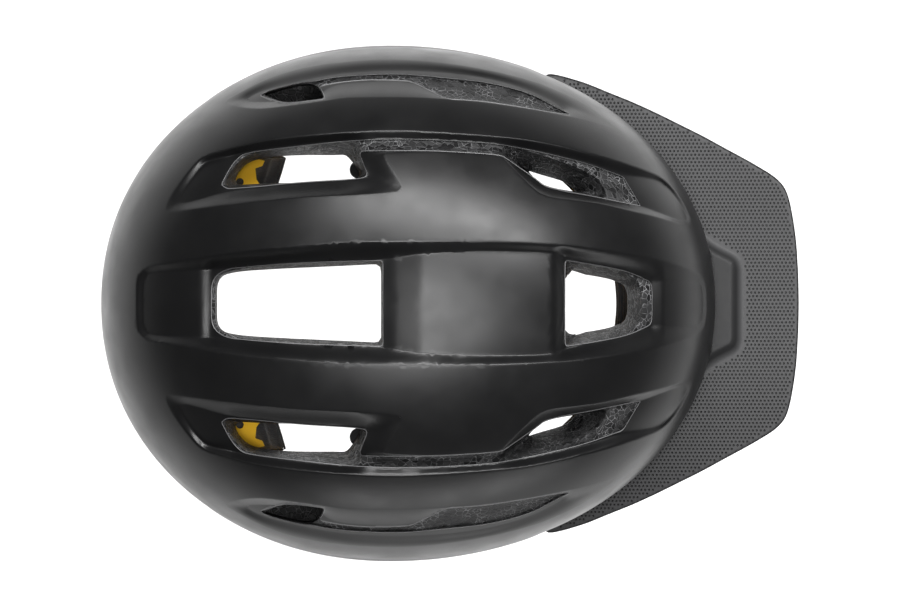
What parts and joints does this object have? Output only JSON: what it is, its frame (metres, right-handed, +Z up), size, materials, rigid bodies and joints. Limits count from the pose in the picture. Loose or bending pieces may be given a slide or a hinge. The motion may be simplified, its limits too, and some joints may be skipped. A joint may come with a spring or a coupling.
{
  "type": "cycling helmet",
  "caption": "Vented cycling helmet with push-fit visor, foam body, slip liner and pads, dial-adjusted head cradle, and a chin strap with cam dividers and a side-release buckle.",
  "frame": {"origin": "middle of the head opening, level with the widest line of the shell", "axes": "+X forwards to the visor, +Y to the wearer's left, +Z up through the crown"},
  "size_m": [0.3001, 0.2224, 0.2556],
  "materials": {
    "shell": "matt black polycarbonate skin, faint orange-peel",
    "lower_shell": "satin dark grey polycarbonate skin",
    "foam": "charcoal bead foam, dull",
    "visor": "matt dark grey plastic with a fine dimpled upper face",
    "slip_liner": "satin yellow sheet plastic",
    "elastomer": "dull black elastomer",
    "pad": "black brushed fabric over soft foam",
    "webbing": "black woven polyester webbing",
    "nylon": "black moulded nylon, fine texture",
    "steel": "bright steel"
  },
  "bodies": {
    "helmet": {"outer_shell": "shell", "lower_shell": "lower_shell", "foam_liner": "foam", "visor_socket_centre": "nylon", "visor_socket_left": "nylon", "visor_socket_right": "nylon", "height_rail": "nylon", "temple_post_left": "nylon", "temple_post_right": "nylon", "strap_anchor_front_left": "nylon", "strap_anchor_front_right": "nylon", "strap_anchor_rear_left": "nylon", "strap_anchor_rear_right": "nylon", "webbing_left": "webbing", "webbing_right": "webbing", "divider_left": "nylon", "divider_right": "nylon", "buckle_socket": "nylon", "chin_pad": "pad", "strap_keeper": "nylon"},
    "slip": {"slip_liner": "slip_liner", "brow_pad": "pad", "crown_pad_centre": "pad", "crown_pad_left": "pad", "crown_pad_right": "pad", "rear_pad_left": "pad", "rear_pad_right": "pad", "temple_pad_left": "pad", "temple_pad_right": "pad", "slip_anchor_front_left": "elastomer", "slip_anchor_front_right": "elastomer", "slip_anchor_rear_left": "elastomer", "slip_anchor_rear_right": "elastomer"},
    "visor": {"visor": "visor", "visor_post_centre": "nylon", "visor_post_left": "nylon", "visor_post_right": "nylon"},
    "cradle": {"dial_housing": "nylon", "dial_cover": "nylon", "cradle_yoke": "nylon", "height_slider": "nylon", "ratchet_spring": "steel", "cradle_pad_left": "pad", "cradle_pad_right": "pad"},
    "dial": {"dial_knob": "nylon", "dial_pinion": "nylon", "dial_screw": "steel"},
    "band_left": {"band_left": "nylon"},
    "band_right": {"band_right": "nylon"},
    "lever_left": {"divider_lever_left": "nylon"},
    "lever_right": {"divider_lever_right": "nylon"},
    "buckle": {"buckle_insert": "nylon"}
  },
  "joints": [
    {"name": "slip_turn", "type": "hinge", "parent": "helmet", "child": "slip", "pos_m": [-0.003, 0, 0], "axis": [0, 0, 1], "range_deg": [-2.5, 2.5], "stiffness_Nm_per_rad": 4},
    {"name": "visor_pull", "type": "slide", "parent": "helmet", "child": "visor", "axis": [1, 0, 0], "range_m": [0, 0.014]},
    {"name": "cradle_height", "type": "hinge", "parent": "helmet", "child": "cradle", "pos_m": [0.05, 0, -0.014], "axis": [0, -1, 0], "range_deg": [0, 6]},
    {"name": "dial_turn", "type": "hinge", "parent": "cradle", "child": "dial", "pos_m": [-0.101, 0, -0.062], "axis": [1, 0, 0], "range_deg": [0, 110]},
    {"name": "left_band_slide", "type": "slide", "parent": "cradle", "child": "band_left", "axis": [0, -1, 0], "range_m": [0, 0.0096]},
    {"name": "right_band_slide", "type": "slide", "parent": "cradle", "child": "band_right", "axis": [0, 1, 0], "range_m": [0, 0.0096]},
    {"name": "left_lever_flip", "type": "hinge", "parent": "helmet", "child": "lever_left", "pos_m": [0.006, 0.086, -0.081], "axis": [1, 0, 0], "range_deg": [0, 80]},
    {"name": "right_lever_flip", "type": "hinge", "parent": "helmet", "child": "lever_right", "pos_m": [0.006, -0.086, -0.081], "axis": [-1, 0, 0], "range_deg": [0, 80]},
    {"name": "buckle_release", "type": "slide", "parent": "helmet", "child": "buckle", "axis": [0, -1, 0], "range_m": [0, 0.0185]}
  ],
  "couplings": [
    {"joint": "left_band_slide", "follows": "dial_turn", "m_per_rad": 0.005},
    {"joint": "right_band_slide", "follows": "dial_turn", "m_per_rad": 0.005}
  ]
}
